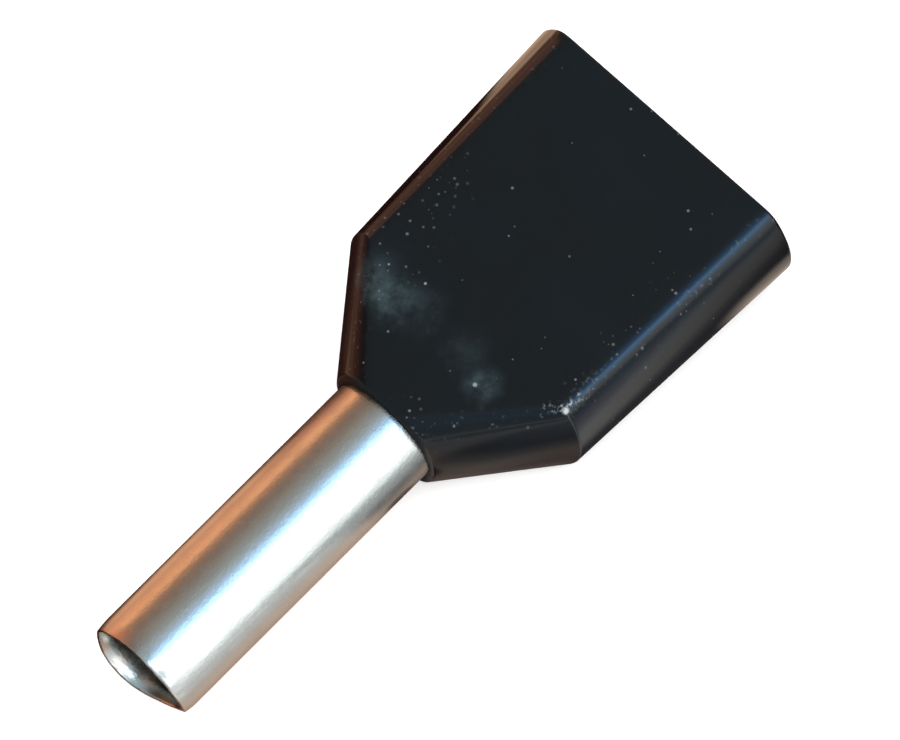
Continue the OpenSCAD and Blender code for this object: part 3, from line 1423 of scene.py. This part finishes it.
@dataclass(frozen=True)
class MirroredRoom:
    """The room as gloss picks it up: a window on one side, warm wood on the other.

    The stops run over the lean of a direction across the part, in degrees from
    straight up, positive towards +Y: one row for directions that lean towards
    +X, one for those behind, towards -X. Far to either side the room is plain.
    """

    facing: tuple[Stop, ...] = gradient(
        (-100, 0.40, 0.45, 0.51), (-88, 0.62, 0.70, 0.76), (-76, 1.08, 1.18, 1.22),
        (-62, 1.42, 1.52, 1.56), (-48, 1.44, 1.70, 1.90), (-34, 1.55, 2.35, 3.20),
        (-24, 1.60, 2.70, 4.20), (-14, 0.69, 1.20, 1.82), (-3, 0.39, 0.57, 0.77),
        (8, 0.385, 0.415, 0.425), (16, 0.27, 0.315, 0.32), (24, 0.29, 0.285, 0.26),
        (34, 0.265, 0.225, 0.185), (46, 0.20, 0.155, 0.125), (60, 0.25, 0.15, 0.105),
        (68, 0.41, 0.20, 0.11), (79, 1.08, 0.51, 0.24), (86, 0.95, 0.43, 0.20),
        (100, 0.80, 0.35, 0.17),
    )
    behind: tuple[Stop, ...] = gradient(
        (-100, 0.37, 0.46, 0.53), (-60, 0.33, 0.42, 0.48), (-20, 0.33, 0.45, 0.52),
        (-2, 0.31, 0.44, 0.52), (14, 0.34, 0.37, 0.40), (22, 0.21, 0.23, 0.26),
        (30, 0.15, 0.13, 0.14), (40, 0.20, 0.11, 0.075), (50, 0.34, 0.15, 0.08),
        (66, 0.56, 0.19, 0.09), (84, 0.72, 0.23, 0.10), (100, 0.60, 0.20, 0.09),
    )
    aside: Colour = (0.33, 0.36, 0.38)
    edge_shift: float = 0.0110
    edge_lean: float = 18.0
    edge_most: float = 19.0
    top_shift: float = 0.10
    top_lean: Range = (-22.0, -10.0)
    wood_shift: float = 0.22
    to_facing: Range = (-0.16, 0.06)
    to_aside: Range = (0.62, 0.76)

    def build(self, graph: Graph) -> Socket:
        """Build the room's colour by direction.

        Args:
            graph: the world's graph.

        Returns:
            The colour's socket.
        """
        parts = graph.parts(graph.add("TexCoord").outputs["Generated"])
        lean = graph.maths("DEGREES", graph.maths("ARCTAN2", parts["Y"], parts["Z"]))
        facing = graph.shades(lean, self.facing)
        behind = graph.shades(lean, self.behind)
        past = graph.maths("MINIMUM", graph.maths("ADD", lean, self.edge_lean), 0.0)
        beyond = graph.larger(past, -self.edge_most)
        inward = graph.scaled(graph.ramp(lean, *self.top_lean), -self.top_shift, parts["X"])
        reach = graph.scaled(beyond, -self.edge_shift, inward)
        middle = graph.blend(graph.ramp(reach, *self.to_facing), behind, facing)
        wood_side = graph.times(graph.ramp(parts["Y"], 0.0, 0.2), self.wood_shift)
        far = graph.maths("ADD", graph.maths("ABSOLUTE", parts["X"]), wood_side)
        sideways = graph.ramp(far, *self.to_aside)
        return graph.blend(sideways, middle, self.aside)


@dataclass(frozen=True)
class Studio:
    """Soft lights, pale surroundings and the floor."""

    cards: tuple[SoftCard, ...] = (
        SoftCard("fill", -30, -8, 0.16, (0.22, 0.22), (1.0, 0.99, 0.97), 1.1),
        SoftCard("fill overhead", 20, 5, 0.18, (0.26, 0.26), (0.98, 0.99, 1.0), 0.8),
        SoftCard("warm card", 53.5, 14, 0.40, (0.08, 0.30), (1.0, 0.40, 0.24), 1.15, "collar_moulding"),
        SoftCard("cool card", -24, 14, 0.40, (0.08, 0.40), (0.02, 0.36, 1.0), 0.85, "collar_moulding"),
        SoftCard("window card", -82, 14, 0.40, (0.14, 0.26), (0.88, 1.0, 1.0), 0.36, "sleeve_tube"),
        SoftCard("mouth card", -44, -7, 0.40, (0.10, 0.42), (1.0, 0.97, 0.90), 1.00, "sleeve_tube"),
    )
    ambient: Colour = (0.92, 0.92, 0.92)
    backdrop: Colour = (0.97, 0.97, 0.97)
    room: MirroredRoom = field(default_factory=MirroredRoom)

    def build(self, aim: Vector) -> None:
        """Set up everything round the part.

        Args:
            aim: the part's middle.
        """
        for card in self.cards:
            card.place(aim)
            LOG.info("light %s", card.name)
        world = bpy.data.worlds.new("studio")
        world.use_nodes = True
        graph = Graph(world.node_tree)
        path = graph.add("LightPath").outputs
        colour = graph.blend(path["Is Camera Ray"], self.ambient, self.backdrop)
        colour = graph.blend(path["Is Glossy Ray"], colour, self.room.build(graph))
        background = graph.add("Background", {"Color": colour, "Strength": 1.0})
        graph.add("OutputWorld", {"Surface": background.outputs[0]})
        bpy.context.scene.world = world
        bpy.context.scene.view_settings.view_transform = "Standard"
        PaleFloor().build()


@dataclass(frozen=True)
class TableCamera:
    """A distant camera that looks down on the part from the tip's side."""

    azimuth: float = -44.6
    elevation: float = 70.07
    roll: float = 44.87
    distance: float = 250 * MM
    view_width: float = 19.2 * MM
    pan_right: float = 0.942 * MM
    pan_up: float = 0.815 * MM
    sensor: float = 36.0

    def build(self, aim: Vector) -> bpy.types.Object:
        """Make the camera.

        Args:
            aim: the part's middle.

        Returns:
            The camera's object.
        """
        data = bpy.data.cameras.new("table camera")
        data.sensor_width = self.sensor
        data.lens = self.sensor * self.distance / self.view_width
        data.clip_start, data.clip_end = 0.01, 20.0
        camera = bpy.data.objects.new("table camera", data)
        bpy.context.scene.collection.objects.link(camera)
        azimuth, elevation = math.radians(self.azimuth), math.radians(self.elevation)
        level = math.cos(elevation)
        back = Vector((-math.cos(azimuth) * level, math.sin(azimuth) * level, math.sin(elevation)))
        along = Vector((1, 0, 0))
        along = (along - back * back.x).normalized()
        across = back.cross(along)
        roll = math.radians(self.roll)
        right = along * math.cos(roll) - across * math.sin(roll)
        up = back.cross(right)
        place = aim + back * self.distance + right * self.pan_right + up * self.pan_up
        turn = Matrix((right, up, back)).transposed()
        camera.matrix_world = Matrix.Translation(place) @ turn.to_4x4()
        bpy.context.scene.camera = camera
        return camera


def mount_radius(name: str) -> float:
    """Radius of one of the record's round mounts, in metres."""
    mounts = {mount["name"]: mount for mount in frame["record"]["mounts"]}
    return mounts[name]["dims"]["r_mm"] * MM


def main() -> None:
    """Build the camera, the pieces and the studio, in that order."""
    logging.basicConfig(level=logging.INFO, format="%(name)s: %(message)s")
    low, high = (Vector(corner) for corner in SOLID_BOX)
    middle = (low + high) / 2
    TableCamera().build(middle)
    effects = SharedEffects()
    outer_r, bore_r = mount_radius("terminal_pin"), mount_radius("conductor_bore")
    for maker in (InsulatingCollar(outer_r), ContactSleeve(outer_r, bore_r)):
        piece = maker.build(effects)
        LOG.info("piece %s: %d faces", piece.name, len(piece.data.polygons))
    Studio().build(middle)


if __name__ == "__main__":
    main()
